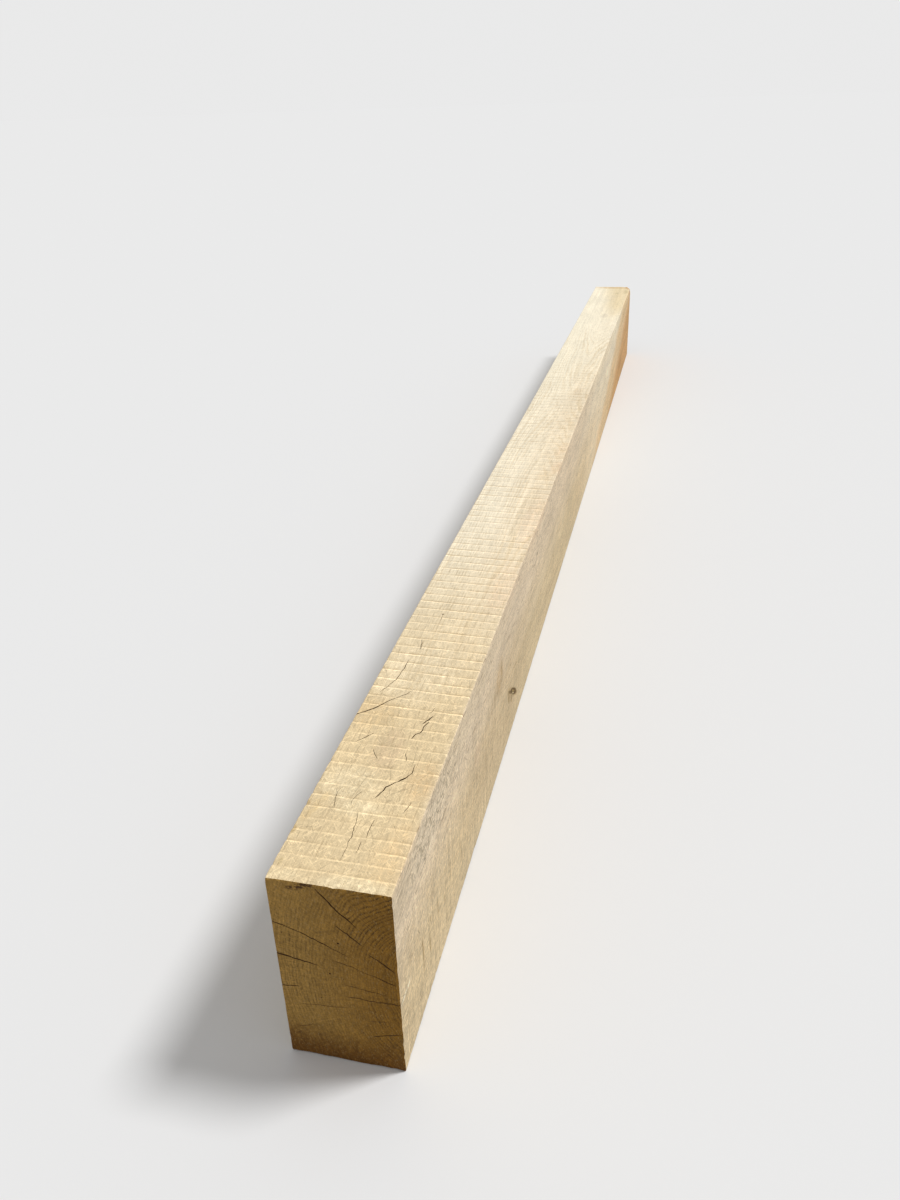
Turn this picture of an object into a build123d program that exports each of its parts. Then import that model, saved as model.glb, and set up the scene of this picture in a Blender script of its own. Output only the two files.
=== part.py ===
from build123d import *
from math import hypot
import os

# A railway sleeper of fresh-sawn oak, lying on edge: one baulk, sawn square on its four long faces
# and cross-cut at both ends. Millimetres. The length runs along Y with the near end at -Y, the
# narrow faces are the top and the underside, and the origin is at the middle of the underside.

# The sawn baulk
length = 2500.0
width = 103.0
height = 200.0

# The saw leaves the arrises crisp, and handling rubs them to a small round
arris_radius = 1.2
# The cross-cuts break out a little all round
end_chamfer = 0.8

# The top right-hand corner of the far end is knocked off
corner_across = 10.0
corner_along = 32.0
corner_down = 17.0

# A drying check is a cleft that follows the rays: pointed at both ends, widest at mid-run, and
# narrower and shorter at its root than at its mouth
root_gap_share = 0.3
root_run_share = 0.85

# Checks in the top face. A route's points are half widths to the right of the middle, and
# millimetres in from the near end. A route that passes 1 breaks out through the arris.
top_checks = [
    # (route, gap at the mouth, depth)
    ([(0.02, 103), (0.16, 113), (0.21, 122), (0.37, 132), (0.49, 139), (0.54, 148), (0.52, 160)], 1.5, 18.0),
    ([(0.24, 194), (0.29, 201), (0.36, 207), (0.38, 217), (0.44, 227)], 1.0, 12.0),
    ([(0.32, 219), (0.38, 226), (0.46, 238)], 1.1, 12.0),
    ([(-1.30, 210), (-0.97, 225), (-0.74, 235), (-0.58, 247), (-0.40, 258), (-0.22, 268), (-0.13, 277)], 1.5, 18.0),
    ([(-0.78, 265), (-0.64, 282), (-0.57, 295), (-0.54, 313), (-0.54, 333)], 0.8, 10.0),
    ([(-0.73, 181), (-0.58, 190), (-0.48, 198)], 0.9, 10.0),
]

# Checks in the near end. A route's points are half widths to the right of the middle, and shares
# of the height up from the underside. They fan out from the heart, which lay beyond the right face.
end_checks = [
    # (route, gap at the mouth, depth)
    ([(-0.20, 0.985), (-0.07, 0.940), (0.09, 0.887), (0.26, 0.845), (0.40, 0.803)], 0.9, 35.0),
    ([(0.08, 0.800), (0.26, 0.757), (0.46, 0.712)], 0.9, 30.0),
    ([(0.57, 0.672), (0.76, 0.637), (0.94, 0.602)], 0.8, 25.0),
    ([(-0.97, 0.762), (-0.70, 0.746), (-0.32, 0.704), (-0.03, 0.665), (0.21, 0.638)], 1.0, 40.0),
    ([(-0.96, 0.582), (-0.61, 0.572), (-0.31, 0.559)], 1.2, 40.0),
    ([(0.17, 0.406), (0.65, 0.409), (0.97, 0.415)], 0.7, 25.0),
]

half_width = width / 2
half_length = length / 2
top_plane = Plane.XY.offset(height)
near_end_plane = Plane.XZ.offset(half_length)


def cleft_outline(route, gap, run_share):
    """A closed outline about the route, pointed at both ends and gap wide at mid-run."""
    middle = sum(route, Vector()) / len(route)
    points = [middle + (point - middle) * run_share for point in route]
    last = len(points) - 1
    left, right = [], []
    for i in range(1, last):
        ahead = points[i + 1] - points[i - 1]
        across = Vector(-ahead.Y, ahead.X) / hypot(ahead.X, ahead.Y)
        mid_run_share = 1 - (2 * i / last - 1) ** 2
        left.append(points[i] + across * gap / 2 * mid_run_share)
        right.append(points[i] - across * gap / 2 * mid_run_share)
    return [points[0], *left, points[last], *reversed(right)]


# Every check as (plane of its face, route on that plane, gap, depth)
checks = [
    (top_plane, [Vector(x * half_width, y - half_length) for x, y in route], gap, depth)
    for route, gap, depth in top_checks
] + [
    (near_end_plane, [Vector(x * half_width, z * height) for x, z in route], gap, depth)
    for route, gap, depth in end_checks
]

# The break runs through these three points on the edges that meet at the corner
broken_corner = Vector(half_width, half_length, height)
break_across = broken_corner - Vector(corner_across, 0, 0)
break_along = broken_corner - Vector(0, corner_along, 0)
break_down = broken_corner - Vector(0, 0, corner_down)
break_plane = Plane(
    origin=break_across,
    x_dir=break_down - break_across,
    z_dir=(break_along - break_across).cross(break_down - break_across),
)

with BuildPart() as sleeper:
    with BuildSketch(Plane.XZ) as section:
        Rectangle(width, height, align=(Align.CENTER, Align.MIN))
    extrude(amount=half_length, both=True)
    fillet(sleeper.edges().filter_by(Axis.Y), radius=arris_radius)
    ends = sleeper.faces().filter_by(Axis.Y)
    chamfer(ends.edges(), length=end_chamfer)
    split(bisect_by=break_plane, keep=Keep.BOTTOM)
    for face_plane, route, gap, depth in checks:
        with BuildSketch(face_plane):
            with BuildLine():
                Polyline(cleft_outline(route, gap, 1), close=True)
            make_face()
        with BuildSketch(face_plane.offset(-depth)):
            with BuildLine():
                Polyline(cleft_outline(route, gap * root_gap_share, root_run_share), close=True)
            make_face()
        loft(ruled=True, mode=Mode.SUBTRACT)

sleeper.part.label = "sleeper"

os.makedirs("parts", exist_ok=True)
export_step(sleeper.part, "parts/sleeper.step")
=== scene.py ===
import math
from types import SimpleNamespace

import bmesh
import bpy
import numpy as np
from mathutils import Matrix, Vector
from mathutils.geometry import delaunay_2d_cdt


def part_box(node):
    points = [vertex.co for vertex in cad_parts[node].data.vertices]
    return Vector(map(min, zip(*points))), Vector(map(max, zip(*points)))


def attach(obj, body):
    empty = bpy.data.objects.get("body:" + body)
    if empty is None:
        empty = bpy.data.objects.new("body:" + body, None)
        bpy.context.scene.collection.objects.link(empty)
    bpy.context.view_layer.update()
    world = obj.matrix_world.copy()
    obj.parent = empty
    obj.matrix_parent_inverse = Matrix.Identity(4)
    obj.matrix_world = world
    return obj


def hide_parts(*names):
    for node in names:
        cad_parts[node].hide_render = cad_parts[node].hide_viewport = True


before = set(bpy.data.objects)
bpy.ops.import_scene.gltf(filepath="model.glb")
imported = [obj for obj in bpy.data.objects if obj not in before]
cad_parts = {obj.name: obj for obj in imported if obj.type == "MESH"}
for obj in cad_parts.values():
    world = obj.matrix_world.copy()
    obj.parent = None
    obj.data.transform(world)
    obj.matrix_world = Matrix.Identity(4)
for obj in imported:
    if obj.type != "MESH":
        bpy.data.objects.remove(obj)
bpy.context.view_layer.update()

# A railway sleeper of fresh-sawn oak, lying on edge. Lengths are millimetres, and MM turns them into
# metres. Places along the sleeper are distances in from the near end, except in mesh coordinates,
# which have their origin at the middle of the underside as the CAD part has.
MM = 0.001
_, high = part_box("sleeper")
HALF_WIDTH = high.x / MM
HALF_LENGTH = high.y / MM
LENGTH = 2 * HALF_LENGTH
HEIGHT = high.z / MM

# The sawn edges, and the break at the far right-hand top corner, as in the CAD part
ARRIS_RADIUS = 1.2
END_CHAMFER = 0.8
CORNER_ACROSS, CORNER_ALONG, CORNER_DOWN = 10.0, 32.0, 17.0

# The heart of the log, which lay just beyond the right face
HEART_X, HEART_Z = 85.0, 90.0
RING_TALLNESS = 1.33
RING_PITCH = 2.9

random = np.random.default_rng(7)


# Smooth noise. Large odd numbers scatter the whole-number places of its cells.

AXIS_SCATTER = np.array([73856093, 19349663, 83492791])
SEED_SCATTER, LAST_SCATTER = 2654435761, 1274126177


def noise_at(points, size, seed):
    """Smooth noise from -1 to 1 at an array of 3-D points, with cells of the given size."""
    points = points / np.array(size, float)
    cell = np.floor(points).astype(np.int64)
    share = points - cell
    share = share * share * (3 - 2 * share)
    total = np.zeros(len(points))
    for corner in range(8):
        step = np.array([corner & 1, corner >> 1 & 1, corner >> 2 & 1])
        mixed = np.bitwise_xor.reduce((cell + step) * AXIS_SCATTER, axis=1) ^ seed * SEED_SCATTER
        mixed = (mixed ^ mixed >> 13) * LAST_SCATTER & 0xFFFFFFFF
        value = (mixed ^ mixed >> 16) % 65536 / 32767.5 - 1
        total += value * np.where(step == 1, share, 1 - share).prod(axis=1)
    return total


def smooth(start, end, value):
    """0 at the start, 1 at the end, and smooth between."""
    share = np.clip((value - start) / (end - start), 0, 1)
    return share * share * (3 - 2 * share)


# Saw marks. The frame saw left a line straight across at each feed step: a short steep wall on its near
# side, and a long gentle one on its far side.

FIRST_MARK, LAST_CLEARANCE = 15.0, 8.0
# The pitch goes from the near one to the far one over this run, with some scatter
NEAR_PITCH, FAR_PITCH = 14.3, 19.5
PITCH_RUN = 700.0
PITCH_SCATTER = 0.45
SHALLOWEST_MARK = 0.55
# The marks on the top fade between these places
FADE_START, FADE_END = 1200.0, 1800.0
WALL_NEAR, WALL_FAR = 1.3, 5.0
# How far the marks waver, and how much each leans for a millimetre across once past the run
WAVER = 0.55
ASKEW, ASKEW_RUN = 0.032, 350.0
# How far inside a face's plane a point still counts as on that face
SKIN = 2.5
# How plain the marks are at the far end of the top, low on the right side, and on the other faces
FAR_TOP_MARKS, RIGHT_MARKS, OTHER_MARKS = 0.25, 0.5, 0.55
# The heights between which they fade in down the right side
RIGHT_FADE = (170, 90)


def saw_marks():
    """Places of the saw marks along the sleeper."""
    places, y = [], FIRST_MARK
    while y < LENGTH - LAST_CLEARANCE:
        places.append(y + random.normal(0, PITCH_SCATTER))
        y += NEAR_PITCH + (FAR_PITCH - NEAR_PITCH) * min(1.0, y / PITCH_RUN)
    return np.array(places)


MARKS = saw_marks()
MARK_DEPTHS = random.uniform(SHALLOWEST_MARK, 1.0, len(MARKS))


def sway(points):
    """How far a saw mark strays along the sleeper from a line square across it."""
    askew = ASKEW * points[:, 0] * smooth(0, ASKEW_RUN, points[:, 1])
    return WAVER * noise_at(points, (34, 60, 34), 41) - askew


def from_marks(y):
    """For each place y, the distance past the nearest saw mark, and that mark's number."""
    following = np.clip(np.searchsorted(MARKS, y - WALL_FAR * 0.6), 0, len(MARKS) - 1)
    before = np.clip(following - 1, 0, None)
    nearest = np.where(np.abs(y - MARKS[before]) < np.abs(y - MARKS[following]), before, following)
    return y - MARKS[nearest], nearest


def mark_strength(points):
    """How plain the saw marks are on each face. They are plainest on the near part of the top."""
    x, y, z = points[:, 0], points[:, 1], points[:, 2]
    on_top = z > HEIGHT - SKIN
    on_right = (x > HALF_WIDTH - SKIN) & ~on_top
    top = 1 - (1 - FAR_TOP_MARKS) * smooth(FADE_START, FADE_END, y)
    right = RIGHT_MARKS * smooth(*RIGHT_FADE, z)
    strength = np.where(on_top, top, np.where(on_right, right, OTHER_MARKS))
    patchy = 0.8 + 0.35 * noise_at(points, (26, 7, 26), 11) + 0.2 * noise_at(points, (5, 7, 5), 12)
    return strength * np.clip(patchy, 0.15, 1.2)


def saw_relief(points):
    """Depth of the saw marks, as a share of the deepest."""
    past, mark = from_marks(points[:, 1] - sway(points))
    wall = np.where(past < 0, 1 + past / WALL_NEAR, 1 - past / WALL_FAR)
    return np.clip(wall, 0, 1) * MARK_DEPTHS[mark] * mark_strength(points)


def saw_phase(points):
    """How many saw marks lie nearer, a whole number on each mark and even between them."""
    places = np.r_[MARKS[0] - NEAR_PITCH, MARKS, MARKS[-1] + FAR_PITCH]
    return np.interp(points[:, 1] - sway(points), places, np.arange(len(places)))


def saw_strength(points):
    """How plain the nearest saw mark's lines are."""
    _, mark = from_marks(points[:, 1] - sway(points))
    return MARK_DEPTHS[mark] * mark_strength(points)


# The baulk

# The mesh has rows at these distances from each mark up to FADE_END and one row at each mark beyond it.
# Between marks it has two more rows up to CLOSE_RUN, and then one
MARK_ROWS = (-1.5, -0.6, 0.2, 1.3, 3.2)
CLOSE_RUN = 900.0
NEAR_END_ROWS = (3.0, 6.0, 10.0)
CORNER_ROW_STEP = 2.5
LEAST_ROW_STEP = 0.45


def row_places():
    """Places of the mesh's rows, close together at each saw mark."""
    rows = [0.0, END_CHAMFER]
    for mark, following in zip(MARKS, np.r_[MARKS[1:], LENGTH]):
        fine = mark < FADE_END
        rows += [mark + step for step in MARK_ROWS] if fine else [mark]
        inner = 3 if mark < CLOSE_RUN else 2
        start = mark + MARK_ROWS[-1] if fine else mark
        end = following + MARK_ROWS[0] if fine else following
        rows += list(start + (end - start) * np.arange(1, inner) / inner)
    rows += NEAR_END_ROWS
    rows += list(LENGTH - np.arange(CORNER_ROW_STEP, CORNER_ALONG + 10, CORNER_ROW_STEP))
    rows += [LENGTH - END_CHAMFER, LENGTH]
    rows = np.array(sorted(row for row in rows if 0 <= row <= LENGTH))
    kept = rows[np.r_[True, np.diff(rows) > LEAST_ROW_STEP]]
    kept[-1] = LENGTH
    return kept


# How much closer points lie by the arrises, and how much of an arris's wear reaches past it, and how far
CROWDING = 0.09
NEAR_ARRIS, ARRIS_FADE = 0.45, 1.4


def section_loop():
    """The section's outline, clockwise seen from the near end.

    Gives its points, which way is outward at each, and how near each lies to an arris, from 1 on it to 0
    a few millimetres away.
    """
    points, normals, arris = [], [], []
    r = ARRIS_RADIUS
    corners = [
        # (centre of the arris, the first outward angle on it, steps on the face that follows)
        ((HALF_WIDTH - r, HEIGHT - r), 90, 32),
        ((HALF_WIDTH - r, r), 0, 14),
        ((-HALF_WIDTH + r, r), -90, 22),
        ((-HALF_WIDTH + r, HEIGHT - r), 180, 34),
    ]
    arris_steps = 3
    for k, ((cx, cz), first, count) in enumerate(corners):
        diagonal = math.radians(first - 45)
        for step in range(arris_steps + 1):
            angle = math.radians(first - 90 * step / arris_steps)
            points.append((cx + r * math.cos(angle), cz + r * math.sin(angle)))
            normals.append((math.cos(diagonal), math.sin(diagonal)))
            arris.append(1.0)
        (nx, nz), face_angle, _ = corners[(k + 1) % 4]
        face_normal = (math.cos(math.radians(face_angle)), math.sin(math.radians(face_angle)))
        start = np.array(points[-1])
        run = np.array([nx + r * face_normal[0], nz + r * face_normal[1]]) - start
        for step in range(1, count):
            share = step / count - CROWDING * math.sin(2 * math.pi * step / count)
            from_arris = min(share, 1 - share) * np.linalg.norm(run)
            points.append(tuple(start + run * share))
            normals.append(face_normal)
            arris.append(NEAR_ARRIS * math.exp(-from_arris / ARRIS_FADE))
    return np.array(points), np.array(normals), np.array(arris)


def arris_nicks(points):
    """How much wood the arris has lost along its run."""
    edge = np.c_[points[:, 1], np.sign(points[:, 0]) * 40, np.sign(points[:, 2] - HEIGHT / 2) * 40]
    chip = smooth(0.35, 0.95, noise_at(edge, (21, 9, 9), 21))
    chip *= 0.65 + 0.35 * noise_at(edge, (4, 9, 9), 22)
    inner = smooth(0, 20, points[:, 1]) * smooth(0, 20, LENGTH - points[:, 1])
    wear = smooth(0.0, 0.9, noise_at(edge, (5.5, 7, 7), 23))
    return (0.25 + 0.9 * inner) * chip + 0.28 * wear


END_NICK_DEPTH, END_NICK_REACH = 1.5, 2.0


def end_nicks(points):
    """How much wood the edges of the ends have lost."""
    from_end = np.minimum(points[:, 1], LENGTH - points[:, 1])
    edge = np.c_[points[:, 0], 20 * (points[:, 1] > HALF_LENGTH), points[:, 2]]
    chip = smooth(0.1, 0.95, noise_at(edge, (4.5, 7, 4.5), 24))
    return END_NICK_DEPTH * chip * np.exp(-np.clip(from_end, 0, None) / END_NICK_REACH)


LEAST_DROP, SAW_DEPTH, WAVE_DEPTH = 0.04, 0.52, 0.11


def surface_drop(points, arris):
    """How far each point of the long faces lies inside the sawn plane."""
    waves = 1 + 0.6 * noise_at(points, (45, 240, 45), 13) + 0.4 * noise_at(points, (7, 60, 7), 14)
    sawn = LEAST_DROP + SAW_DEPTH * saw_relief(points) + WAVE_DEPTH * waves
    return sawn + arris_nicks(points) * arris + end_nicks(points)


# Splinters start a little before the break and are full a little beyond it, as shares of its size
SPLINTER_START, SPLINTER_FULL = -0.25, 0.15


def broken_corner(points):
    """Moves what lies beyond the break at the far right-hand top corner onto its splintered face."""
    corner = np.array([HALF_WIDTH, HALF_LENGTH, HEIGHT])
    inverse = 1 / np.array([CORNER_ACROSS, CORNER_ALONG, CORNER_DOWN])
    steepness = np.linalg.norm(inverse)
    beyond = 1 - (corner - points) @ inverse
    splinter = 0.8 + 0.7 * noise_at(points, (1.7, 14, 1.7), 31) + 0.5 * noise_at(points, (5, 24, 5), 32)
    over = beyond / steepness + splinter * smooth(SPLINTER_START, SPLINTER_FULL, beyond)
    over = np.where(beyond > SPLINTER_START, np.maximum(over, 0), 0)
    return points - over[:, None] * inverse / steepness


# Rows waver as the marks do from this far in, and the edges of the ends are this ragged
SQUARE_RUN, RAGGED = 12, 0.4
# Spacing of the net of points on the near and far end, and its margin. As shares of the spacing, how far
# a point strays and how near it may come to the outline
NEAR_NET, FAR_NET, END_MARGIN = 2.5, 4.0, 1.6
NET_STRAY, NET_GAP = 0.3, 0.45


def baulk_mesh():
    """The sawn baulk as one closed mesh: its vertices and faces."""
    rows = row_places()
    loop, loop_normals, arris = section_loop()
    count, last = len(loop), len(rows) - 1
    vertices = []
    for i, place in enumerate(rows):
        points = np.c_[loop[:, 0], np.full(count, place), loop[:, 1]]
        normals = np.c_[loop_normals[:, 0], np.zeros(count), loop_normals[:, 1]]
        points[:, 1] += sway(points) * smooth(0, SQUARE_RUN, place) * smooth(0, SQUARE_RUN, LENGTH - place)
        points -= normals * surface_drop(points, arris)[:, None]
        if i in (0, last):
            ragged = RAGGED * (1 + noise_at(points, (2.3, 9, 2.3), 42))
            inset = END_CHAMFER + ragged
            points[:, 0] *= 1 - inset / HALF_WIDTH
            points[:, 2] += (HEIGHT / 2 - points[:, 2]) * inset / (HEIGHT / 2)
        points[:, 1] -= HALF_LENGTH
        vertices.append(points)
    vertices = broken_corner(np.vstack(vertices)).tolist()
    ring = np.arange(count)
    after = (ring + 1) % count
    faces = []
    for i in range(last):
        a, b = i * count, (i + 1) * count
        faces += np.c_[a + ring, a + after, b + after, b + ring].tolist()
    for row, outward_y, step in ((0, -1, NEAR_NET), (last, 1, FAR_NET)):
        close_end(vertices, faces, [row * count + k for k in range(count)], outward_y, step)
    return vertices, faces


def close_end(vertices, faces, loop, outward_y, step):
    """Fills an end of the baulk with a fine net of faces that carries the cross-cut's relief."""
    edge = [Vector((vertices[k][0], vertices[k][2])) for k in loop]
    inner = []
    margin = step + END_MARGIN
    for x in np.arange(-HALF_WIDTH + margin, HALF_WIDTH - margin + step / 2, step):
        for z in np.arange(margin, HEIGHT - margin + step / 2, step):
            p = Vector((x, z)) + Vector(random.uniform(-NET_STRAY, NET_STRAY, 2)) * step
            if min((p - q).length for q in edge) > step * NET_GAP:
                inner.append(p)
    outline = [(k, (k + 1) % len(edge)) for k in range(len(edge))]
    found, _, triangles, _, _, _ = delaunay_2d_cdt(edge + inner, outline, [], 1, 1e-5)
    if len(found) != len(edge) + len(inner):
        raise ValueError("the end's outline crosses itself")
    net = np.array([(p.x, vertices[loop[0]][1], p.y) for p in inner])
    net[:, 1] -= outward_y * end_drop(net)
    first = len(vertices)
    vertices += broken_corner(net).tolist()
    index = list(loop) + list(range(first, first + len(inner)))
    for triangle in triangles:
        a, b, c = (index[k] for k in triangle)
        pa, pb, pc = (Vector(vertices[k]) for k in (a, b, c))
        turn = (pb - pa).cross(pc - pa).y * outward_y
        faces.append([a, b, c] if turn > 0 else [a, c, b])


STROKE_SLANT, STROKE_DEPTH, LUMP_DEPTH = 0.12, 0.12, 0.10


def end_drop(points):
    """How far the cross-cut's surface, with the strokes of the saw, lies inside the end plane."""
    slanted = points + points[:, [2, 1, 0]] * np.array([STROKE_SLANT, 0, 0])
    strokes = 1 + noise_at(slanted, (2.6, 1e3, 70), 51)
    lumps = 1 + noise_at(points, (8, 1e3, 8), 52)
    return STROKE_DEPTH * strokes + LUMP_DEPTH * lumps


def add_piece(name, vertices, faces, unit=MM):
    mesh = bpy.data.meshes.new(name)
    mesh.from_pydata([(x * unit, y * unit, z * unit) for x, y, z in vertices], [], faces)
    mesh.validate()
    mesh.update()
    piece = bpy.data.objects.new(name, mesh)
    bpy.context.scene.collection.objects.link(piece)
    return piece


# Drying checks. A route's points are (right of the middle, in from the near end) on the top, and
# (right of the middle, up) on the near end. The gap at the mouth is one width, or several that
# follow each other evenly along the route.

TOP_CHECKS = [
    # (route, gap at the mouth, depth)
    (
        [
            (3.7, 106), (6.4, 111), (8.2, 117), (9.0, 123.4), (13.6, 127.7), (16.2, 131),
            (18.6, 133), (23.3, 138.3), (25, 141.6), (27.2, 146.5), (26.2, 152), (26.4, 159.5),
        ],
        (0.4, 1.2, 0.8, 1.1, 1.3, 1.0, 1.8, 2.0, 0.5, 1.1, 0.8, 0.4),
        18,
    ),
    ([(12.4, 195), (14.7, 203), (18.6, 206), (19.3, 217), (22.4, 225)], 1.15, 12),
    ([(16.6, 220), (19.8, 226), (24, 235)], 1.3, 12),
    (
        [(-67, 210), (-50, 225), (-38, 235), (-30, 247), (-20.6, 258), (-11.3, 268), (-6.7, 277)],
        (1.7, 1.6, 1.3, 1.0, 0.8, 0.6),
        18,
    ),
    ([(-40, 265), (-33, 282), (-29.4, 295), (-27.8, 313), (-27.8, 333)], 0.8, 10),
    ([(-37.6, 181), (-29.9, 190), (-24.7, 198)], 1.0, 10),
    # hairlines, which only show on the surface
    ([(13.3, 173), (14.5, 168), (17.3, 161)], 0.65, 5),
    (
        [(-4.5, 87), (-2.6, 81.5), (-1.1, 72), (0.3, 55), (0.6, 44), (0.3, 29.5)],
        (0.5, 0.5, 0.5, 0.5, 0.35, 0.2),
        5,
    ),
    ([(-27, 117), (-29.8, 110), (-28, 97.5), (-25.7, 88.5)], 0.5, 5),
    ([(-8.8, 114), (-13.8, 103), (-12.7, 95)], 0.5, 4),
    ([(12.7, 81), (12.2, 72), (12.7, 58)], 0.5, 4),
    ([(9.8, 54), (10.4, 49), (9.8, 40)], 0.45, 4),
    ([(36.6, 109), (35.6, 101), (33.8, 93)], 0.42, 4),
    ([(-17.5, 174), (-14.8, 168), (-9.8, 160)], 0.45, 4),
    ([(19, 238), (21, 243), (22.3, 249)], 0.45, 4),
    ([(-25.2, 375.6), (-23.2, 367), (-20.7, 353)], 0.6, 6),
    ([(-15.7, 433), (-15.9, 427), (-15.3, 418)], 0.4, 5),
]
END_CHECKS = [
    ([(-11.6, 198.2), (-3.6, 188), (4.6, 177.4), (13.4, 169), (20.2, 161.6)], (1.3, 1.3, 1.2, 0.9), 35),
    ([(2.5, 161), (13.4, 151.4), (23.7, 142.4)], 0.95, 30),
    ([(27.5, 134.5), (39.1, 126.4), (49.5, 118)], 1.05, 25),
    ([(-60, 157), (-38.8, 150.6), (-21.9, 143.6), (-5, 135.4), (12.2, 127)], (1.3, 1.3, 1.1, 0.8), 40),
    ([(-58, 120), (-31.4, 115), (-15, 111.6)], (1.7, 1.5, 0.9), 40),
    ([(4, 80.6), (20, 81.2), (33, 80.2), (44, 81.6), (56, 80.4)], (0.8, 1.0, 1.3), 25),
    # hairlines
    ([(-6, 121.6), (12, 117), (29, 110.8), (49.5, 103.2)], (0.5, 0.7, 1.1, 1.2), 12),
    ([(-56, 80.8), (-43, 81.8), (-34, 83.6)], 0.95, 8),
    ([(25, 37), (39.7, 42.6), (56, 48)], (0.9, 1.2), 12),
    ([(-37, 62), (-17, 65), (6, 67.4)], 0.6, 5),
    ([(2.5, 94.6), (20, 92.4), (42, 90.2)], 0.55, 5),
    ([(-43, 32.4), (-36, 35), (-27, 40)], 0.5, 4),
    ([(24, 55.8), (39, 58.8)], 0.5, 4),
]
END_PITS = [
    # (right of the middle, up, radius)
    (3.5, 141, 0.9),
    (-6.7, 104.8, 0.8),
    (4.8, 101, 0.5),
    (17, 39.8, 0.5),
    (-17, 74.4, 0.45),
    (-44, 143, 0.45),
]
TOP_PITS = [
    # (right of the middle, in from the near end, radius)
    (-16, 434, 1.0),
]
PIT_DEPTH, PIT_STRETCH, PIT_LUMPS = 4.0, 1.2, 0.16
# Spacing of a fine route's points, and how far each cutter stands out of its face
ROUTE_STEP = 1.3
CUT_LIFT = 0.8
# The gap left at a check's tips, and its root's share of the gap
TIP_HALF_GAP = 0.04
ROOT_GAP_SHARE = 0.15


def fine_route(route, seed):
    """Points along the route with the small jogs of split wood, directions across it, and shares of it."""
    route = np.array(route, float)
    along = np.r_[0, np.cumsum(np.linalg.norm(np.diff(route, axis=0), axis=1))]
    places = np.linspace(0, along[-1], max(5, int(along[-1] / ROUTE_STEP)))
    points = np.c_[np.interp(places, along, route[:, 0]), np.interp(places, along, route[:, 1])]
    ahead = np.gradient(points, axis=0)
    across = np.c_[-ahead[:, 1], ahead[:, 0]] / np.linalg.norm(ahead, axis=1)[:, None]
    share = places / along[-1]
    line = np.c_[places, 0 * places, 0 * places + seed * 9]
    jog = 0.5 * noise_at(line, (3.1, 1, 1), 61) + 0.4 * noise_at(line, (9, 1, 1), 62)
    points += across * (jog * np.sin(np.pi * share))[:, None]
    return points, across, share


def cleft(route, gap, depth, seed, place):
    """A closed wedge along a check. place turns two coordinates on the face and a depth into a point."""
    points, across, share = fine_route(route, seed)
    line = np.c_[share * len(share) * ROUTE_STEP, 0 * share, 0 * share + seed * 9]
    uneven = 0.85 + 0.25 * noise_at(line, (4, 1, 1), 63) + 0.25 * noise_at(line, (13, 1, 1), 64)
    gaps = np.atleast_1d(gap)
    gap = np.interp(share, np.linspace(0, 1, len(gaps)), gaps)
    half_gap = gap / 2 * (1 - (2 * share - 1) ** 8) * uneven + TIP_HALF_GAP
    root = depth * (0.3 + 0.7 * np.sin(np.pi * np.clip(share, 0.05, 0.95)))
    mouth = half_gap * (1 + CUT_LIFT / depth)
    vertices, faces = [], []
    for p, n, wide, narrow, down in zip(points, across, mouth, half_gap * ROOT_GAP_SHARE, root):
        vertices.append(place(*(p + n * wide), -CUT_LIFT))
        vertices.append(place(*(p - n * wide), -CUT_LIFT))
        vertices.append(place(*(p - n * narrow), down))
        vertices.append(place(*(p + n * narrow), down))
    for i in range(len(points) - 1):
        a, b = 4 * i, 4 * (i + 1)
        faces += [[a + k, a + (k + 1) % 4, b + (k + 1) % 4, b + k] for k in range(4)]
    end = 4 * (len(points) - 1)
    return vertices, faces + [[3, 2, 1, 0], [end, end + 1, end + 2, end + 3]]


def pit(centre, radii, place, seed):
    """A closed, slightly lumpy ball to take out of a face. place works as it does for a cleft."""
    rings, sides = 6, 12
    vertices, faces = [], []
    for i in range(rings + 1):
        tilt = math.pi * i / rings
        for k in range(sides):
            turn = 2 * math.pi * k / sides
            on_ball = np.array([[2 * math.cos(turn), 2 * math.sin(turn), i * 0.6 + seed]])
            lump = 1 + PIT_LUMPS * noise_at(on_ball, (1, 1, 1), 71)[0]
            a = radii[0] * math.sin(tilt) * math.cos(turn) * lump
            b = radii[1] * math.sin(tilt) * math.sin(turn) * lump
            vertices.append(place(centre[0] + a, centre[1] + b, -radii[2] * math.cos(tilt)))
    for i in range(rings):
        a, b = i * sides, (i + 1) * sides
        faces += [[a + k, a + (k + 1) % sides, b + (k + 1) % sides, b + k] for k in range(sides)]
    return vertices, faces


def on_top(x, y, depth):
    return (x, y - HALF_LENGTH, HEIGHT - depth)


def on_near_end(x, z, depth):
    return (x, -HALF_LENGTH + depth, z)


def openings():
    """All the checks and pits together, as one set of vertices and faces to take out of the baulk."""
    solids = []
    for face_checks, place in ((TOP_CHECKS, on_top), (END_CHECKS, on_near_end)):
        for route, gap, depth in face_checks:
            solids.append(cleft(route, gap, depth, len(solids), place))
    for face_pits, place in ((TOP_PITS, on_top), (END_PITS, on_near_end)):
        for a, b, r in face_pits:
            solids.append(pit((a, b), (r, r * PIT_STRETCH, PIT_DEPTH), place, len(solids)))
    vertices, faces = [], []
    for solid_vertices, solid_faces in solids:
        first = len(vertices)
        vertices += solid_vertices
        faces += [[first + k for k in face] for face in solid_faces]
    return vertices, faces


def outward(piece):
    """Joins coincident points and turns every face outwards."""
    work = bmesh.new()
    work.from_mesh(piece.data)
    bmesh.ops.remove_doubles(work, verts=work.verts, dist=1e-7)
    bmesh.ops.recalc_face_normals(work, faces=work.faces)
    work.to_mesh(piece.data)
    work.free()


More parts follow.
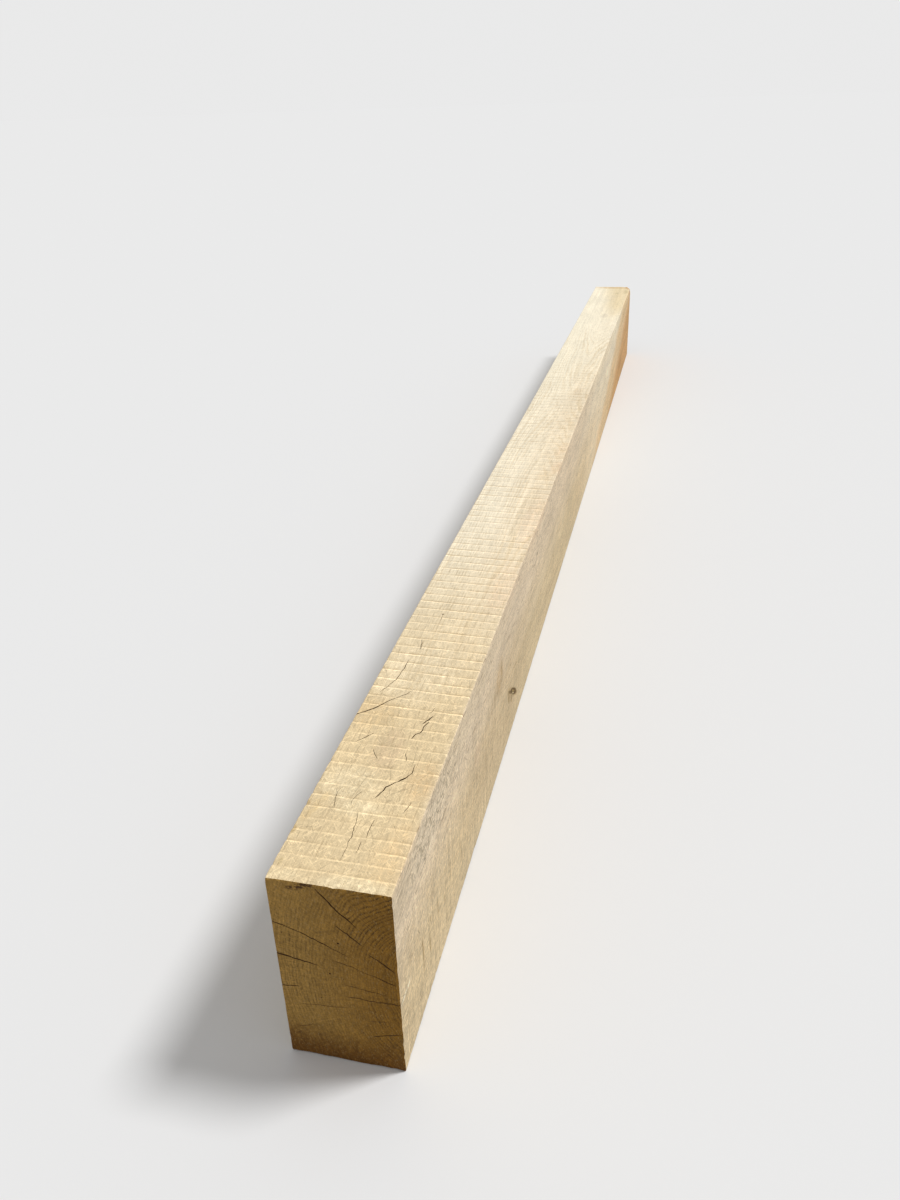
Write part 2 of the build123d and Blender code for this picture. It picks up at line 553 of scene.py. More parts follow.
def cut(piece, cutter):
    """Takes the cutter out of the piece. The faces that it leaves have the second material."""
    for name in ("sawn", "split"):
        material = bpy.data.materials.new(name)
        piece.data.materials.append(material)
        cutter.data.materials.append(material)
    for polygon in cutter.data.polygons:
        polygon.material_index = 1
    modifier = piece.modifiers.new("cut", "BOOLEAN")
    modifier.operation = "DIFFERENCE"
    modifier.solver = "MANIFOLD"
    modifier.object = cutter
    evaluated = piece.evaluated_get(bpy.context.evaluated_depsgraph_get())
    made = bpy.data.meshes.new_from_object(evaluated)
    piece.modifiers.clear()
    piece.data = made
    bpy.data.objects.remove(cutter)


# Edges with a sharper turn stay crisp, and points closer together are joined
SHARP_ANGLE = math.radians(38)
SLIVER = 0.01


def mark_edges(piece):
    """Smooth shading, but crisp at the arrises and the mouths of the checks."""
    work = bmesh.new()
    work.from_mesh(piece.data)
    bmesh.ops.remove_doubles(work, verts=work.verts, dist=SLIVER * MM)
    bmesh.ops.triangulate(work, faces=[face for face in work.faces if len(face.verts) > 4])
    for face in work.faces:
        face.smooth = True
    for edge in work.edges:
        edge.smooth = len(edge.link_faces) == 2 and edge.calc_face_angle(0) < SHARP_ANGLE
    work.to_mesh(piece.data)
    work.free()


def mark_faces(piece):
    """Keeps what the material needs: the saw marks on the points, and which faces are split wood."""
    mesh = piece.data
    places = np.zeros(3 * len(mesh.vertices))
    mesh.vertices.foreach_get("co", places)
    points = places.reshape(-1, 3) / MM + np.array([0, HALF_LENGTH, 0])
    for name, values in (("saw_phase", saw_phase(points)), ("saw_strength", saw_strength(points))):
        mesh.attributes.new(name, "FLOAT", "POINT").data.foreach_set("value", values)
    split = [float(polygon.material_index) for polygon in mesh.polygons]
    mesh.attributes.new("split", "FLOAT", "FACE").data.foreach_set("value", split)
    for polygon in mesh.polygons:
        polygon.material_index = 0
    mesh.materials.clear()


def make_sleeper():
    piece = add_piece("sawn_sleeper", *baulk_mesh())
    outward(piece)
    cutter = add_piece("openings", *openings())
    outward(cutter)
    cut(piece, cutter)
    mark_edges(piece)
    mark_faces(piece)
    return piece


# Shader nodes

def srgb(red, green, blue):
    """A colour picked as sRGB from 0 to 255, in the linear values that the nodes take."""
    return (*(((c / 255 + 0.055) / 1.055) ** 2.4 for c in (red, green, blue)), 1.0)


class Graph:
    """Short calls for the shader nodes that a material is made of."""

    def __init__(self, tree):
        self.tree = tree

    def node(self, kind, **settings):
        made = self.tree.nodes.new("ShaderNode" + kind)
        for name, value in settings.items():
            setattr(made, name, value)
        return made

    def put(self, socket, value):
        if isinstance(value, bpy.types.NodeSocket):
            self.tree.links.new(value, socket)
        else:
            socket.default_value = value

    def math(self, operation, *values):
        made = self.node("Math", operation=operation)
        for socket, value in zip(made.inputs, values):
            self.put(socket, value)
        return made.outputs[0]

    def times(self, first, *others):
        for other in others:
            first = self.math("MULTIPLY", first, other)
        return first

    def shares(self, layers, **amounts):
        """Each named layer times its amount."""
        return [self.times(getattr(layers, name), amount) for name, amount in amounts.items()]

    def total(self, first, *others):
        for other in others:
            first = self.math("ADD", first, other)
        return first

    def ramp(self, value, start, end, low=0.0, high=1.0):
        """Goes smoothly from low to high as the value goes from start to end."""
        made = self.node("MapRange", interpolation_type="SMOOTHSTEP")
        for socket, number in zip(made.inputs, (value, start, end, low, high)):
            self.put(socket, number)
        return made.outputs[0]

    def blend(self, share, low, high):
        """Low where the share is 0 and high where it is 1."""
        return self.ramp(share, 0, 1, low, high)

    def attribute(self, name):
        return self.node("Attribute", attribute_name=name).outputs["Fac"]

    def parts(self, vector):
        made = self.node("SeparateXYZ")
        self.put(made.inputs[0], vector)
        return made.outputs

    def cells(self, point, size, shift=(0, 0, 0)):
        """The point counted in cells of the given size, moved by some cells."""
        made = self.node("Mapping")
        self.put(made.inputs["Vector"], point)
        made.inputs["Location"].default_value = shift
        made.inputs["Scale"].default_value = tuple(1 / length for length in size)
        return made.outputs[0]

    def turned(self, point, degrees):
        """The point turned about the upright axis."""
        made = self.node("VectorRotate", rotation_type="Z_AXIS")
        self.put(made.inputs["Vector"], point)
        made.inputs["Angle"].default_value = math.radians(degrees)
        return made.outputs[0]

    def noise(self, point, size, seed, detail=1.0, roughness=0.5):
        """Noise about 0, mostly from -1 to 1, with cells of the given size."""
        made = self.node("TexNoise")
        self.put(made.inputs["Vector"], self.cells(point, size, (seed * 7.31, seed * 3.17, seed * 5.73)))
        self.put(made.inputs["Scale"], 1.0)
        self.put(made.inputs["Detail"], detail)
        self.put(made.inputs["Roughness"], roughness)
        return self.math("MULTIPLY", self.math("SUBTRACT", made.outputs["Fac"], 0.5), 4.0)

    def mix(self, factor, first, second):
        made = self.node("Mix", data_type="RGBA")
        self.put(made.inputs[0], factor)
        self.put(made.inputs[6], first)
        self.put(made.inputs[7], second)
        return made.outputs[2]

    def brighten(self, colour, *shares):
        """The colour times 1 plus each share."""
        scale = self.math("ADD", 1.0, shares[0])
        for share in shares[1:]:
            scale = self.math("MULTIPLY", scale, self.math("ADD", 1.0, share))
        made = self.node("VectorMath", operation="SCALE")
        self.put(made.inputs[0], colour)
        self.put(made.inputs["Scale"], scale)
        return made.outputs[0]

    def blob(self, point, centre, radii, edge):
        """1 in an ellipsoid about the centre and 0 outside it. Its soft edge is a share of the radius."""
        from_centre = self.node("VectorMath", operation="MULTIPLY_ADD")
        self.put(from_centre.inputs[0], point)
        self.put(from_centre.inputs[1], tuple(1 / r for r in radii))
        self.put(from_centre.inputs[2], tuple(-c / r for c, r in zip(centre, radii)))
        made = self.node("VectorMath", operation="LENGTH")
        self.put(made.inputs[0], from_centre.outputs[0])
        return self.ramp(made.outputs["Value"], 1.0 + edge / 2, 1.0 - edge / 2)


# Oak

PATCHES = [
    # (centre as right of the middle, in from the near end, and up; radii; colour; strength)
    # orange tint by the near right-hand corner of the top
    ((46, 34, 200), (20, 52, 8), (226, 182, 120), 0.26),
    # pale patches along the near edge of the top
    ((21, 4, 200), (31, 9, 4), (238, 219, 179), 1.1),
    ((-38, 4, 200), (17, 8, 4), (240, 222, 182), 0.5),
    ((-6, 92, 200), (18, 10, 6), (245, 230, 192), 0.5),
    ((-24, 122, 200), (26, 22, 6), (245, 230, 194), 0.5),
    ((-14, 310, 200), (40, 60, 6), (244, 230, 200), 0.4),
    # browner patches in the near third of the top
    ((40, 136, 200), (15, 26, 6), (216, 182, 134), 0.6),
    ((-34, 230, 200), (22, 26, 6), (214, 184, 136), 0.6),
    ((-4, 176, 200), (13, 30, 6), (204, 178, 144), 0.6),
    # moss-brown specks by the left arris
    ((-49.5, 57, 200), (2.0, 5, 3), (170, 142, 88), 0.75),
    ((-50, 91, 200), (2.4, 4, 3), (176, 144, 92), 0.7),
    ((-46, 20, 200), (1.8, 4, 3), (170, 150, 96), 0.6),
    # a brown smear that slants in from it
    ((-46, 75, 200), (3.5, 7, 4), (204, 174, 120), 0.5),
    ((-42, 88, 200), (3.5, 8, 4), (206, 177, 124), 0.5),
    ((-37.5, 101, 200), (3.5, 7, 4), (208, 180, 128), 0.45),
    # pinkish patches by the right arris
    ((41, 512, 198), (17, 60, 12), (240, 208, 174), 0.42),
    ((45, 715, 198), (16, 85, 12), (240, 207, 172), 0.45),
    ((47, 934, 198), (9, 28, 7), (236, 200, 162), 0.5),
    ((46, 1016, 198), (11, 36, 7), (240, 208, 168), 0.5),
    # a tan patch beside them
    ((34, 895, 200), (14, 18, 5), (224, 198, 154), 0.45),
    # grey bruise, speck cluster, brown edge and olive specks towards the far end of the top
    ((12, 2085, 200), (9, 26, 6), (200, 188, 166), 0.6),
    ((28, 1368, 200), (9, 30, 5), (208, 184, 150), 0.5),
    ((12, 2486, 200), (60, 15, 9), (212, 178, 124), 0.8),
    ((20, 2395, 200), (5, 10, 5), (190, 174, 128), 0.6),
    ((43, 2420, 200), (6, 26, 5), (186, 166, 116), 0.55),
    # grey-blue streak, high on the far right side
    ((52, 1740, 158), (8, 240, 15), (212, 202, 184), 0.35),
    # pale wood above the heart wood
    ((52, 2010, 186), (8, 150, 17), (255, 245, 217), 0.55),
    ((52, 2290, 190), (8, 150, 11), (250, 226, 184), 0.5),
    # tan wood low on the right side, before the heart wood
    ((52, 1490, 55), (8, 330, 62), (238, 207, 162), 0.45),
    # dark streak in the heart wood
    ((52, 2200, 46), (8, 60, 9), (176, 124, 72), 0.6),
    # dull wood about the knot, low on the right side
    ((52, 430, 72), (8, 180, 60), (210, 186, 149), 0.8),
    # a tan patch with two specks, and a pink patch, halfway up the near right side
    ((52, 426, 125), (6, 22, 18), (206, 173, 126), 0.75),
    ((52, 440, 131), (6, 5, 15), (180, 150, 106), 0.55),
    ((52, 396, 116), (6, 4, 15), (186, 156, 112), 0.5),
    ((52, 300, 109), (6, 15, 14), (226, 194, 166), 0.4),
    # warmer wood along the foot of the near right side
    ((52, 70, 82), (8, 260, 62), (235, 207, 160), 0.4),
    # greyer wood by the top arris of the right side
    ((52, 160, 182), (8, 330, 20), (222, 203, 170), 0.6),
    # upright saw marks and a pale scratch on the near right side
    ((52, 57, 70), (6, 1.6, 10), (186, 158, 116), 0.6),
    ((52, 69, 66), (6, 2.1, 22), (166, 138, 94), 1.1),
    ((52, 91.5, 55), (6, 1.9, 12), (166, 138, 94), 1.0),
    ((52, 96, 80), (6, 2.0, 3), (160, 132, 90), 0.8),
    ((52, 122.4, 66), (6, 1.7, 10), (176, 148, 106), 0.9),
    ((52, 145.7, 54), (6, 1.8, 7), (166, 138, 96), 0.9),
    ((52, 171, 74), (6, 3.0, 3), (158, 130, 90), 0.9),
    ((52, 171, 62), (6, 1.6, 7), (182, 154, 112), 0.7),
    ((52, 216.4, 53), (6, 2.0, 12), (172, 144, 102), 0.8),
    ((52, 14, 79), (6, 15, 1.6), (255, 244, 216), 1.4),
    # paler wood about the curls, high on the near right side
    ((52, 112, 174), (6, 55, 24), (250, 232, 203), 0.55),
    # a dark speck further along
    ((52, 707, 155), (6, 6, 2.2), (120, 100, 72), 0.8),
]

# The knot low on the right side, as ovals in slanted coordinates of its own: the dull wood about it, its
# dark wood, the light core and the pale nick in that, its dark tail, and two streaks
KNOT_Y, KNOT_Z = 517.0, 49.0
KNOT_SLANT = ((0.135, 0.0), (0.418, 0.648))
KNOT_OVALS = [
    # (centre, radii, colour, strength)
    ((-1, -0.5), (4.6, 4.6), (200, 172, 126), 0.65),
    ((0, 0), (2.8, 3.4), (92, 68, 28), 1.0),
    ((-0.4, 0.5), (1.1, 1.2), (168, 142, 86), 0.85),
    ((-0.6, -1.6), (0.8, 0.8), (226, 204, 158), 0.9),
    ((-3.2, -1.2), (1.3, 1.7), (106, 86, 50), 0.85),
    ((-4.6, -6.5), (1.0, 5.4), (160, 132, 88), 0.55),
    ((-2.2, -7.0), (0.9, 3.8), (160, 130, 86), 0.5),
]


# Noise over the sawn faces
LAYERS = {
    # name: (size of a cell across, along and up; seed; detail; roughness)
    "streaks": ((5, 380, 5), 9, 3, 0.6),
    "broad": ((30, 110, 30), 10, 2, 0.5),
    "fibre": ((1.6, 22, 1.6), 11, 2, 0.6),
    "fleck": ((1.9, 6, 1.9), 20, 2, 0.65),
    "chatter": ((1e3, 8, 60), 28, 3, 0.6),
    "fuzz": ((11, 1.6, 11), 12, 2, 0.6),
    "mottle": ((5, 8, 5), 13, 3, 0.6),
    "grit": ((1.2, 1.2, 1.2), 14, 2, 0.5),
}

# Heart wood comes to the surface low on the far right side, and rises to the top at the far end
HEART_SLOPE = 0.27
HEART_WOOD = [
    # (where it starts and is full, on the scale of heart_rise; colour)
    (370, 426, (236, 204, 157)),
    (458, 528, (213, 166, 111)),
]

# The radius at which an angle about the heart is turned into millimetres round it
RAY_RADIUS = 130.0


# The steps below make the material. g is its graph, and w keeps what later steps need of the wood.

def find_places(g, w):
    """The place of a point in from the near end, and which way its face looks."""
    coordinates = g.node("TexCoord")
    w.point = g.cells(coordinates.outputs["Object"], (MM, MM, MM), (0, HALF_LENGTH, 0))
    w.x, w.y, w.z = g.parts(w.point)
    facing_x, facing_y, facing_z = g.parts(coordinates.outputs["Normal"])
    w.facing_end = g.ramp(g.math("ABSOLUTE", facing_y), 0.42, 0.66)
    w.facing_top = g.ramp(facing_z, 0.6, 0.8)
    w.facing_side = g.ramp(g.math("ABSOLUTE", facing_x), 0.6, 0.8)


def grow_rings(g, w):
    """Growth rings about the heart, which wanders a little along the log."""
    heart_x = g.total(HEART_X, g.times(g.noise(w.point, (1e6, 800, 1e6), 1), 10))
    heart_z = g.total(HEART_Z, g.times(g.noise(w.point, (1e6, 700, 1e6), 2), 14))
    across = g.math("SUBTRACT", heart_x, w.x)
    rise = g.math("SUBTRACT", w.z, heart_z)
    flat_rise = g.times(rise, 1 / RING_TALLNESS)
    radius = g.math("SQRT", g.total(g.times(across, across), g.times(flat_rise, flat_rise)))
    angle = g.math("ARCTAN2", rise, across)
    polar = g.node("CombineXYZ")
    g.put(polar.inputs[0], g.times(angle, RAY_RADIUS))
    g.put(polar.inputs[1], w.y)
    # The rings swell under the top near each figure that shows there
    growth = g.total(
        radius,
        g.times(g.blob(w.point, (90, 1480, 205), (80, 480, 60), 1.9), 46.0),
        g.times(g.blob(w.point, (-2, 172, 205), (20, 46, 40), 1.8), 10.0),
        g.times(g.ramp(w.x, 8, 56), g.ramp(w.z, 115, 190), 11.0),
        g.times(g.noise(w.point, (95, 520, 95), 3), 4.5),
        g.times(g.noise(w.point, (16, 150, 16), 4), 0.7),
    )
    g.put(polar.inputs[2], growth)
    w.polar = polar.outputs[0]
    uneven = g.times(g.noise(w.polar, (1e6, 1e6, 9), 15, detail=2), 0.9)
    ring_count = g.total(
        g.math("DIVIDE", growth, RING_PITCH),
        uneven,
        g.times(g.noise(w.point, (9, 90, 9), 5), 0.2),
    )
    ring = g.math("FRACT", ring_count)
    w.early = g.times(g.ramp(ring, 0.0, 0.12), g.ramp(ring, 0.66, 0.22))
    w.ring_strength = g.ramp(g.noise(w.point, (26, 240, 26), 6), -0.8, 0.8, 0.15, 1.0)
    w.ring_weave = g.noise(w.polar, (10, 60, 1.1), 16, detail=2)
    w.ray_weave = g.noise(w.polar, (1.3, 14, 9), 17, detail=2)


def add_textures(g, w):
    """Pores and rays, noise of many sizes, torn grain and hairline cracks."""
    pores = g.ramp(g.noise(w.point, (0.7, 15, 0.7), 7, detail=0), 0.5, 1.1)
    w.pores = g.times(pores, g.ramp(w.early, 0.0, 0.5, 0.3, 1.0))
    w.rays = g.ramp(g.noise(w.polar, (0.9, 16, 34), 8), 0.5, 1.1)
    w.near = g.ramp(w.y, 620, 150)
    for name, (size, seed, detail, roughness) in LAYERS.items():
        setattr(w, name, g.noise(w.point, size, seed, detail, roughness))
    torn_left = g.ramp(g.noise(g.turned(w.point, 38), (1.1, 10, 4), 21, detail=0), 0.35, 1.1)
    torn_right = g.ramp(g.noise(g.turned(w.point, -42), (1.1, 9, 4), 22, detail=0), 0.35, 1.1)
    w.torn_fibres = g.math("MAXIMUM", torn_left, torn_right)
    line_place = g.noise(w.point, (16, 26, 16), 18)
    cracks = g.node("TexVoronoi", feature="DISTANCE_TO_EDGE")
    g.put(cracks.inputs["Vector"], g.cells(w.point, (17, 34, 17)))
    g.put(cracks.inputs["Scale"], 1.0)
    w.hairlines = g.times(g.ramp(cracks.outputs["Distance"], 0.022, 0.006), g.ramp(line_place, 0.0, 0.7))


def long_grain(g, w):
    """The colour of the long faces, which is tan near the near end and paler further along."""
    paler = g.ramp(w.y, 180, 760)
    palest = g.ramp(w.y, 1110, 1660)
    colour = g.mix(paler, srgb(227, 204, 162), srgb(247, 235, 209))
    colour = g.mix(palest, colour, srgb(250, 240, 215))
    side_colour = g.mix(g.ramp(w.z, 165, 55), srgb(238, 217, 186), srgb(228, 206, 166))
    side_colour = g.mix(palest, side_colour, srgb(253, 236, 204))
    w.heart_rise = g.total(*g.shares(w, y=HEART_SLOPE, z=-1, broad=13, streaks=12))
    w.right_side = g.ramp(w.x, 44, 50)
    w.calm_side = g.times(w.facing_side, g.math("MAXIMUM", g.ramp(w.y, 200, 600), g.ramp(w.x, 10, -10)))
    for start, full, heart_colour in HEART_WOOD:
        share = g.times(g.ramp(w.heart_rise, start, full), w.right_side, 0.95)
        side_colour = g.mix(share, side_colour, srgb(*heart_colour))
    colour = g.mix(w.facing_side, colour, side_colour)
    warm = g.times(g.ramp(w.x, -35, 50), w.facing_top, paler, g.ramp(w.y, 1900, 1100, 0.35, 1.0))
    colour = g.mix(g.times(warm, 0.5), colour, srgb(238, 214, 177))
    past_margin = g.total(w.x, g.times(g.math("SUBTRACT", w.y, 2300), 0.08), g.times(w.broad, 6))
    margin = g.times(g.ramp(past_margin, -24, 30), g.ramp(w.y, 1980, 2240), w.facing_top)
    return g.mix(g.times(margin, 0.8), colour, srgb(233, 212, 169))


def add_patches(g, w, colour):
    """Every patch in its place, with a ragged edge."""
    ragged = g.ramp(g.total(w.mottle, g.times(w.fuzz, 0.5)), -0.9, 0.9, 0.25, 1.0)
    for centre, radii, patch_colour, strength in PATCHES:
        share = g.times(g.blob(w.point, centre, radii, 1.0), ragged, strength)
        colour = g.mix(share, colour, srgb(*patch_colour))
    return colour


def add_knot(g, w, colour):
    from_knot = g.math("SUBTRACT", w.y, KNOT_Y)
    above_knot = g.math("SUBTRACT", w.z, KNOT_Z)
    knot_point = g.node("CombineXYZ")
    for axis, (along_share, up_share) in enumerate(KNOT_SLANT):
        slanted = g.total(g.times(from_knot, along_share), g.times(above_knot, up_share))
        g.put(knot_point.inputs[axis], g.total(slanted, *g.shares(w, grit=0.22, mottle=0.28)))
    for centre, radii, oval_colour, strength in KNOT_OVALS:
        oval = g.blob(knot_point.outputs[0], (*centre, 0), (*radii, 1), 0.5)
        colour = g.mix(g.times(oval, w.right_side, strength), colour, srgb(*oval_colour))
    return colour


def add_grain(g, w, colour):
    """Rings, curls, streaks, fibres and pores on the long faces."""
    quieter = g.ramp(w.y, 1700, 2050, 1.0, 0.35)
    ring_tone = g.times(g.blend(w.near, 0.26, 0.11), quieter)
    colour = g.mix(g.times(w.early, w.ring_strength, ring_tone), colour, srgb(208, 178, 126))
    curl_place = g.times(g.blob(w.point, (52, 130, 173), (8, 90, 28), 1.0), w.facing_side)
    curl = g.math("ABSOLUTE", g.noise(w.point, (1e3, 17, 10), 29, detail=1))
    curl = g.times(g.ramp(curl, 0.20, 0.05), g.ramp(w.mottle, 0.5, -0.3))
    curl = g.math("MAXIMUM", curl, g.ramp(w.fleck, -0.4, -1.0))
    colour = g.mix(g.times(curl_place, curl, 0.6), colour, srgb(150, 136, 108))
    top_streaks = g.ramp(w.y, 400, 800, 0.04, 0.10)
    side_streaks = g.total(
        0.05,
        g.times(g.ramp(w.y, 550, 950, 0.0, 0.06), w.right_side),
        g.times(g.ramp(w.heart_rise, 400, 500, 0.0, 0.10), w.right_side),
    )
    colour = g.brighten(
        colour,
        g.times(w.streaks, g.blend(w.facing_side, top_streaks, side_streaks)),
        g.times(
            w.chatter, w.facing_side, w.right_side, g.ramp(w.z, 195, 140), g.blend(w.calm_side, 0.13, 0.05)
        ),
        g.times(w.broad, g.blend(w.facing_side, 0.07, 0.10)),
        g.times(w.fibre, g.blend(w.facing_side, 0.10, 0.15)),
        g.times(w.fleck, g.blend(w.facing_side, 0.09, g.ramp(w.x, -10, 10, 0.10, 0.18))),
        g.times(w.fuzz, g.blend(w.calm_side, 0.08, 0.03)),
        g.times(w.mottle, g.blend(w.near, 0.05, 0.11)),
        *g.shares(w, grit=0.09, rays=0.06),
        g.times(w.torn_fibres, g.blend(w.near, 0.05, 0.24)),
        g.times(w.hairlines, w.near, -0.26),
    )
    top_pores = g.times(g.blend(w.near, 0.34, 0.20), quieter)
    side_pores = g.ramp(w.z, 90, 190, 0.45, 0.85)
    pore_tone = g.times(w.pores, g.blend(w.facing_side, top_pores, side_pores))
    pore_colour = g.mix(g.math("MAXIMUM", w.near, w.facing_side), srgb(182, 152, 98), srgb(150, 120, 80))
    return g.mix(pore_tone, colour, pore_colour)


def add_saw_marks(g, w, colour):
    """Painted highlights at the saw marks near the near end, partly pale torn fibre, and further along
    mostly painted shade in their grooves, partly dirt.
    """
    phase = g.attribute("saw_phase")
    pitch = g.ramp(w.y, 0, PITCH_RUN, NEAR_PITCH, FAR_PITCH)
    past = g.times(g.math("SUBTRACT", phase, g.math("ROUND", phase)), pitch)
    past = g.total(past, g.times(g.noise(w.point, (5, 30, 5), 23, detail=2), 0.35))
    half_phase = g.math("ADD", phase, 0.5)
    past_half = g.times(g.math("SUBTRACT", half_phase, g.math("ROUND", half_phase)), pitch)
    patchy = g.noise(w.point, (20, 9, 20), 24, detail=2)
    broken = g.ramp(patchy, -1.0, 0.9, g.ramp(w.y, 150, 420, 0.05, 0.50), 1.15)
    strength = g.times(g.attribute("saw_strength"), broken, g.blend(w.calm_side, 1.0, 0.35))
    # bright: a painted highlight along each mark, partly the paler torn fibre at its near wall
    bright = g.times(g.ramp(past, -2.5, -1.5), g.ramp(past, 0.6, -0.2))
    # shade: painted shade in each mark's groove, partly dirt
    shade = g.times(
        g.ramp(past, -0.2, 0.5),
        g.total(g.ramp(past, 2.6, 0.7, 0.0, 0.75), g.ramp(past, 6.5, 1.5, 0.0, 0.25)),
    )
    faint = g.times(g.ramp(past_half, -1.0, 0.0), g.ramp(past_half, 1.8, 0.2))
    colour = g.brighten(
        colour,
        g.times(bright, strength, g.ramp(w.y, 40, 330, 0.38, 0.60)),
        g.times(faint, strength, w.near, 0.06),
    )
    # painted shade and dirt at the marks and between them, mixed towards a warm brown
    saw_shade_and_dirt = g.total(
        g.times(shade, strength, g.ramp(w.y, 120, 420, 0.34, 0.92)),
        g.times(faint, strength, g.ramp(w.y, 250, 500, 0.0, 0.30)),
    )
    return g.mix(saw_shade_and_dirt, colour, srgb(178, 148, 102))


def end_grain(g, w):
    """The colour of the ends: rings seen square on, the cross-cut's wool, and a bruise under the top."""
    colour = g.mix(g.ramp(w.x, -40, 50), srgb(181, 141, 72), srgb(153, 110, 37))
    low_band = g.ramp(g.total(w.z, g.times(w.mottle, 6.0), g.times(w.x, 0.12)), 46, 0)
    colour = g.mix(g.times(low_band, 0.9), colour, srgb(112, 69, 10))
    ring_contrast = g.total(
        0.3,
        g.times(g.blob(w.point, (-40, 0, 105), (30, 1e6, 56), 1.2), 0.55),
        g.times(g.blob(w.point, (50, 0, 180), (46, 1e6, 54), 1.2), 1.2),
        g.times(g.blob(w.point, (48, 0, 55), (26, 1e6, 48), 1.2), 0.75),
    )
    ring_patches = g.ramp(g.noise(w.point, (9, 1e3, 13), 25, detail=2), -0.7, 0.7, 0.45, 1.0)
    bricks = g.ramp(g.noise(w.polar, (2.2, 1e6, 1.7), 30), -0.5, 0.5, 0.3, 1.0)
    w.wool = g.noise(w.point, (1.5, 1e3, 3.0), 26, detail=2, roughness=0.65)
    dashes = g.ramp(g.noise(w.point, (0.7, 1e3, 2.6), 27, detail=0), 0.5, 1.2)
    colour = g.brighten(
        colour,
        g.times(w.early, ring_contrast, ring_patches, bricks, -0.50),
        g.times(w.ring_weave, 0.16),
        g.times(w.ray_weave, g.ramp(ring_contrast, 0.4, 1.2, 0.16, 0.26)),
        *g.shares(w, wool=0.20, rays=0.22, broad=0.09, mottle=0.10, grit=0.15, hairlines=-0.18),
    )
    colour = g.mix(g.times(dashes, 0.26), colour, srgb(212, 180, 128))
    colour = g.mix(g.times(w.pores, 0.5), colour, srgb(100, 72, 38))
    torn = g.ramp(g.total(g.noise(w.point, (3, 9, 2), 19, detail=2), 0.4), 0.0, 0.6)
    bruise = g.total(
        g.blob(w.point, (-17, 0, 199), (5, 8, 2.6), 0.8),
        g.blob(w.point, (-23, 0, 196.6), (4.5, 8, 2.2), 0.9),
        g.blob(w.point, (-29.5, 0, 193.6), (5.5, 8, 1.8), 1.0),
    )
    return g.mix(g.times(bruise, torn, 0.95), colour, srgb(80, 52, 24))


def open_wood(g, w, colour):
    """Brown, fibrous wood on the broken corner, and inside the checks brown split wood with painted shade
    that deepens below the surface.
    """
    corner = g.blob(w.point, (HALF_WIDTH, LENGTH, HEIGHT), (15, 42, 23), 0.2)
    colour = g.mix(g.times(corner, g.ramp(w.fibre, -0.8, 0.8, 0.3, 0.9)), colour, srgb(206, 158, 108))
    inner_x = g.math("SUBTRACT", HALF_WIDTH, g.math("ABSOLUTE", w.x))
    inner_y = g.math("SUBTRACT", HALF_LENGTH, g.math("ABSOLUTE", g.math("SUBTRACT", w.y, HALF_LENGTH)))
    inner_z = g.math("SUBTRACT", HEIGHT / 2, g.math("ABSOLUTE", g.math("SUBTRACT", w.z, HEIGHT / 2)))
    inside = g.math("MINIMUM", g.math("MINIMUM", inner_x, inner_y), inner_z)
    # painted shade: the split wood goes from brown to dark brown between 0.2 and 2.5 mm in, where the gap
    # would shade it
    split_wood_and_shade = g.mix(g.ramp(inside, 0.2, 2.5), srgb(122, 88, 52), srgb(62, 40, 20))
    return g.mix(g.attribute("split"), colour, split_wood_and_shade)


def add_surface(g, w, shader):
    """Roughness and fine relief."""
    roughness = g.total(0.80, *g.shares(w, early=0.06, rays=-0.10, grit=0.05))
    g.put(shader.inputs["Roughness"], g.math("MINIMUM", roughness, 0.96))
    shader.inputs["Specular IOR Level"].default_value = 0.3
    relief = g.total(
        *g.shares(w, pores=-0.20, early=-0.06, fibre=0.07, fleck=0.06, fuzz=0.09, grit=0.06, mottle=0.05),
        g.times(w.torn_fibres, w.near, 0.12),
        g.times(w.wool, w.facing_end, 0.10),
        g.times(w.hairlines, -0.12),
    )
    bump = g.node("Bump")
    g.put(bump.inputs["Height"], relief)
    bump.inputs["Distance"].default_value = MM
    bump.inputs["Strength"].default_value = 0.9
    g.put(shader.inputs["Normal"], bump.outputs["Normal"])


def oak():
    material = bpy.data.materials.new("sawn_oak")
    material.use_nodes = True
    shader = material.node_tree.nodes["Principled BSDF"]
    g, w = Graph(material.node_tree), SimpleNamespace()
    find_places(g, w)
    grow_rings(g, w)
    add_textures(g, w)
    colour = long_grain(g, w)
    for step in (add_patches, add_knot, add_grain, add_saw_marks):
        colour = step(g, w, colour)
    colour = g.mix(w.facing_end, colour, end_grain(g, w))
    g.put(shader.inputs["Base Color"], open_wood(g, w, colour))
    add_surface(g, w, shader)
    return material


sleeper = make_sleeper()
sleeper.data.materials.append(oak())
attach(sleeper, "root")
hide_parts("sleeper")


# Camera, from the photo's perspective

FOCAL_PIXELS = 957.1
PHOTO_HEIGHT = 1200
SENSOR = 36.0
EYE = (0.2336, -1.7489, 0.7300)
YAW, PITCH, ROLL = math.radians(-14.46), math.radians(27.93), math.radians(-2.11)


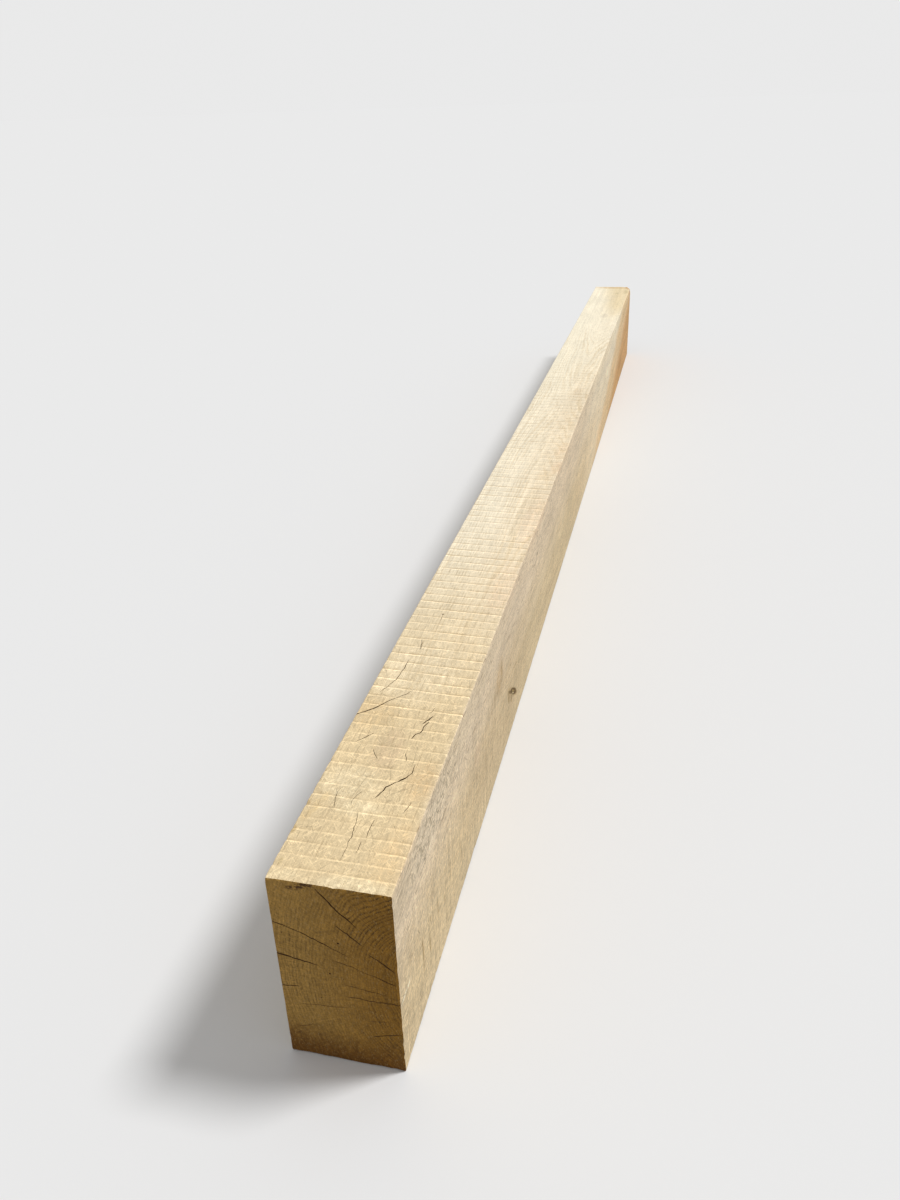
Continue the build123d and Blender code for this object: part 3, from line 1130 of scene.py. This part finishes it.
def add_camera():
    data = bpy.data.cameras.new("camera")
    data.sensor_width = SENSOR
    data.lens = SENSOR * FOCAL_PIXELS / PHOTO_HEIGHT
    camera = bpy.data.objects.new("camera", data)
    bpy.context.scene.collection.objects.link(camera)
    forward = Vector((math.sin(YAW) * math.cos(PITCH), math.cos(YAW) * math.cos(PITCH), -math.sin(PITCH)))
    level_right = forward.cross(Vector((0, 0, 1))).normalized()
    level_up = level_right.cross(forward)
    right = level_right * math.cos(ROLL) + level_up * math.sin(ROLL)
    axes = Matrix((right, right.cross(forward), -forward)).transposed()
    camera.matrix_world = Matrix.Translation(EYE) @ axes.to_4x4()
    bpy.context.scene.camera = camera


# Light: one soft lamp from behind and to the right, and an even fill

def add_lamp(direction, strength, spread):
    data = bpy.data.lights.new("key", "SUN")
    data.energy = strength
    data.angle = math.radians(spread)
    lamp = bpy.data.objects.new("key", data)
    bpy.context.scene.collection.objects.link(lamp)
    lamp.rotation_mode = "QUATERNION"
    lamp.rotation_quaternion = Vector(direction).to_track_quat("Z", "Y")


def seen_directly(g):
    """1 for rays that show a surface to the camera, straight, by reflection or through glass."""
    path = g.node("LightPath")
    seen = g.math("MAXIMUM", path.outputs["Is Camera Ray"], path.outputs["Is Glossy Ray"])
    return g.math("MAXIMUM", seen, path.outputs["Is Transmission Ray"])


def light_world(fill, shown):
    world = bpy.data.worlds.new("studio")
    bpy.context.scene.world = world
    world.use_nodes = True
    g = Graph(world.node_tree)
    background = world.node_tree.nodes["Background"]
    background.inputs["Color"].default_value = (1, 1, 1, 1)
    g.put(background.inputs["Strength"], g.blend(seen_directly(g), fill, shown))


def lay_floor(size, shown, bounce):
    corners = [(-size, -size, 0), (size, -size, 0), (size, size, 0), (-size, size, 0)]
    floor = add_piece("floor", corners, [[0, 1, 2, 3]], 1.0)
    material = bpy.data.materials.new("floor")
    material.use_nodes = True
    g = Graph(material.node_tree)
    shader = material.node_tree.nodes["Principled BSDF"]
    grey, bright = (bounce, bounce, bounce, 1), (shown, shown, shown, 1)
    g.put(shader.inputs["Base Color"], g.mix(seen_directly(g), grey, bright))
    shader.inputs["Roughness"].default_value = 1.0
    shader.inputs["Specular IOR Level"].default_value = 0.0
    floor.data.materials.append(material)


add_camera()
add_lamp(direction=(0.5, 0.25, 0.83), strength=2.1, spread=14)
light_world(fill=0.45, shown=0.82)
lay_floor(size=60.0, shown=0.82, bounce=0.35)
bpy.context.scene.view_settings.view_transform = "Standard"
